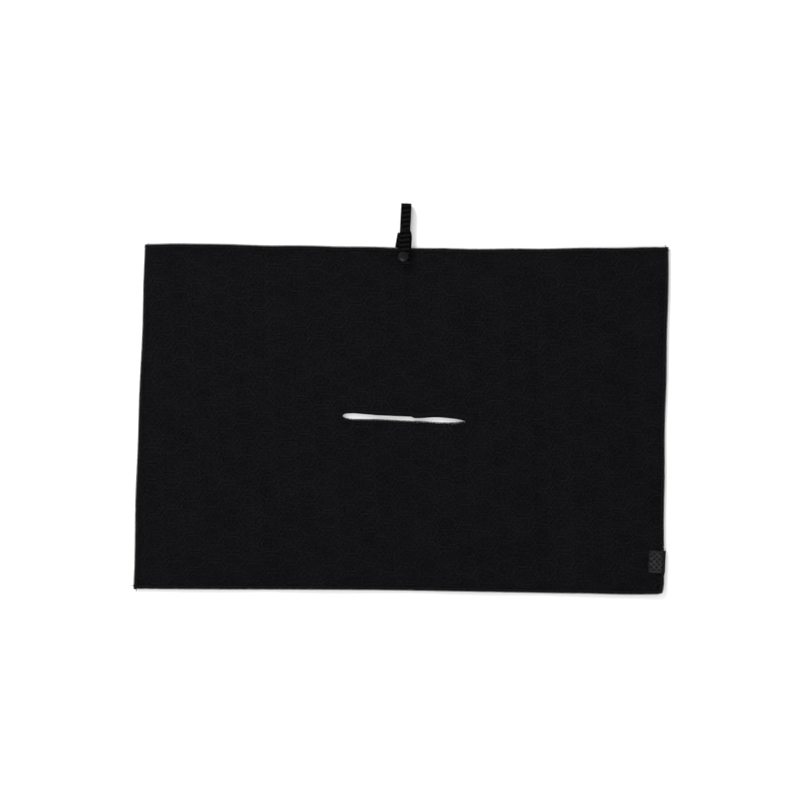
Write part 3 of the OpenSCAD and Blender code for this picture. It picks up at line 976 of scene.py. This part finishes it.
def build_towel():
    cloth_look = towel_material()
    edge_look = thread_material("overlock_thread", 0.0026)
    seam_look = thread_material("sewing_thread", 0.0050, 0.6)
    tape_look = tape_material()

    towel = build_cloth(cloth_look)
    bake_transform(towel)
    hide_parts("towel_upper_half", "towel_lower_half")

    e, h = EDGE_X, HEM
    for name, u, v, seed, tails, body, nodes in (
        ("top_overlock", (e, -e), (h, h), 11, (2.5, 3.5), "upper_towel", ("top_edge_overlock",)),
        ("bottom_overlock", (-e, e), (-h, -h), 12, (2.5, 0.5), "lower_towel",
         ("bottom_edge_overlock",)),
        ("left_overlock", (-e, -e), (h, -h), 13, (3.0, 3.2), None,
         ("upper_left_edge_overlock", "lower_left_edge_overlock")),
        ("right_overlock", (e, e), (-h, h), 14, (0.5, 3.5), None,
         ("upper_right_edge_overlock", "lower_right_edge_overlock")),
    ):
        piece = build_overlock(name, u, v, edge_look, seed, tails)
        if body:
            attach(piece, body)
        else:
            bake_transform(piece)
        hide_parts(*nodes)
    rim = build_slit_rim(thread_material("slit_thread", 0.0008))
    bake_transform(rim)
    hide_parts("slit_upper_lip_overlock", "slit_lower_lip_overlock")

    back = build_back_tape(tape_look)
    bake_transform(back)
    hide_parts("loop_sewn_end", "loop_back_leg", "loop_top_fold")
    doubler = build_doubler(tape_look)
    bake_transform(doubler)
    front = build_front_tape(tape_look)
    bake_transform(front)
    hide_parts("loop_front_leg")
    tab = build_tab_tape(tape_look)
    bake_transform(tab)
    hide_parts("loop_snap_tab")

    label = build_label(label_material())
    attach(label, "lower_towel")
    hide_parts("side_label")

    left, right = LOOP_X - TAPE_W / 2 + 0.8, LOOP_X + TAPE_W / 2 - 0.8
    low, high = SEWN_TIP + 2.5, HEM_AT_LOOP - BIND_W - 1.2
    anchor = build_stitches("anchor_stitches", (
        ((left, low), (right, low)), ((left, high), (right, high)),
        ((left, low + 0.3), (left, high - 0.3)), ((right, low + 0.3), (right, high - 0.3)),
    ), CLOTH_T - 0.1, seam_look)
    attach(anchor, "upper_towel")
    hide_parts("loop_anchor_stitching")
    doubler_row = build_stitches("doubler_stitches", (
        ((2.2 - 5.0, DOUBLER_TIP - 1.2), (2.2 + 5.0, DOUBLER_TIP - 3.2)),), 2 * TAPE_T + 0.55,
        seam_look)
    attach(doubler_row, "loop")
    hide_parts("loop_doubler_stitching")
    x_edge = lie_flat(np.array([EDGE_X]), np.array([LABEL_Y]))[0][0]
    in_x = x_edge - LABEL_IN + 1.3
    label_row = build_stitches("label_stitches", (
        ((in_x + 0.6, LABEL_Y - LABEL_W / 2 + 1.2), (in_x - 0.5, LABEL_Y + LABEL_W / 2 - 1.2)),
    ), BIND_T + LABEL_T + 0.55, seam_look, 2.2, 1.7)
    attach(label_row, "lower_towel")
    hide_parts("label_stitching")

    for node, look in (("snap_cap", snap_material("snap_cap", 0.0030, 0.24)),
                       ("snap_socket", snap_material("snap_metal", 0.010, 0.28, 0.6)),
                       ("snap_stud", None), ("snap_post", None)):
        look = look or bpy.data.materials["snap_metal"]
        piece = frame["nodes"][node]
        for place_in in range(max(1, len(piece.material_slots))):
            if piece.material_slots:
                piece.material_slots[place_in].material = look
            else:
                piece.data.materials.append(look)


# ---- camera, floor and light ----

VIEW_WIDTH = 0.9296      # how much of the table the picture spans
VIEW_MIDDLE = (-1.2, 20.3, 0)
CAMERA_Z = 2.2


def set_camera():
    camera = bpy.data.cameras.new("camera")
    camera.sensor_width = 36
    camera.lens = 36 * (CAMERA_Z - CLOTH_T * MM) / VIEW_WIDTH
    camera.clip_end = 50
    thing = bpy.data.objects.new("camera", camera)
    thing.location = (*place(VIEW_MIDDLE)[:2], CAMERA_Z)
    bpy.context.scene.collection.objects.link(thing)
    bpy.context.scene.camera = thing


def add_floor():
    half = 6.0
    mesh = bpy.data.meshes.new("floor")
    mesh.from_pydata([(-half, -half, -0.0002), (half, -half, -0.0002), (half, half, -0.0002),
                      (-half, half, -0.0002)], [], [(0, 1, 2, 3)])
    s = Shader("floor", roughness=0.9, specular=0.1)
    paper = s.noise(s.here(), 60, 2)
    s.colour((0.90, 0.90, 0.90), (0.92, 0.92, 0.92), paper)
    mesh.materials.append(s.material)
    floor = bpy.data.objects.new("floor", mesh)
    bpy.context.scene.collection.objects.link(floor)


def add_light(name, place_m, target, size, watts, colour=(1, 1, 1)):
    light = bpy.data.lights.new(name, "AREA")
    light.shape = "RECTANGLE"
    light.size, light.size_y = size
    light.energy = watts
    light.color = colour
    thing = bpy.data.objects.new(name, light)
    thing.location = place_m
    thing.rotation_euler = (Vector(target) - Vector(place_m)).to_track_quat("-Z", "Y").to_euler()
    bpy.context.scene.collection.objects.link(thing)


WORLD_LIGHT = 1.18


def set_light():
    """A white room that is darker overhead and lighter in front, and two soft boxes."""
    world = bpy.data.worlds.new("studio")
    world.use_nodes = True
    s = Nodes(world.node_tree)
    place_node = s.tree.nodes.new("ShaderNodeTexCoord")
    split = s.tree.nodes.new("ShaderNodeSeparateXYZ")
    s.feed(split.inputs[0], place_node.outputs["Generated"])
    x, y, z = split.outputs
    low = s.step(s.times(z, -1.0), -0.72, -0.2)
    front = s.sum(1.0, s.times(x, -0.22), s.times(y, -0.38))
    strength = s.times(s.times(s.sum(0.42, s.times(low, 1.7)), front), WORLD_LIGHT)
    background = s.tree.nodes["Background"]
    background.inputs["Color"].default_value = (1, 1, 1, 1)
    s.feed(background.inputs["Strength"], strength)
    bpy.context.scene.world = world
    bpy.context.scene.view_settings.view_transform = "Standard"
    add_light("key", (-1.25, 2.2, 1.05), (0, -0.2, 0), (0.55, 0.55), 70)
    add_light("kicker", (-0.34, -0.62, 1.9), (0, 0.17, 0), (1.3, 0.5), 6)


set_camera()
add_floor()
set_light()
build_towel()
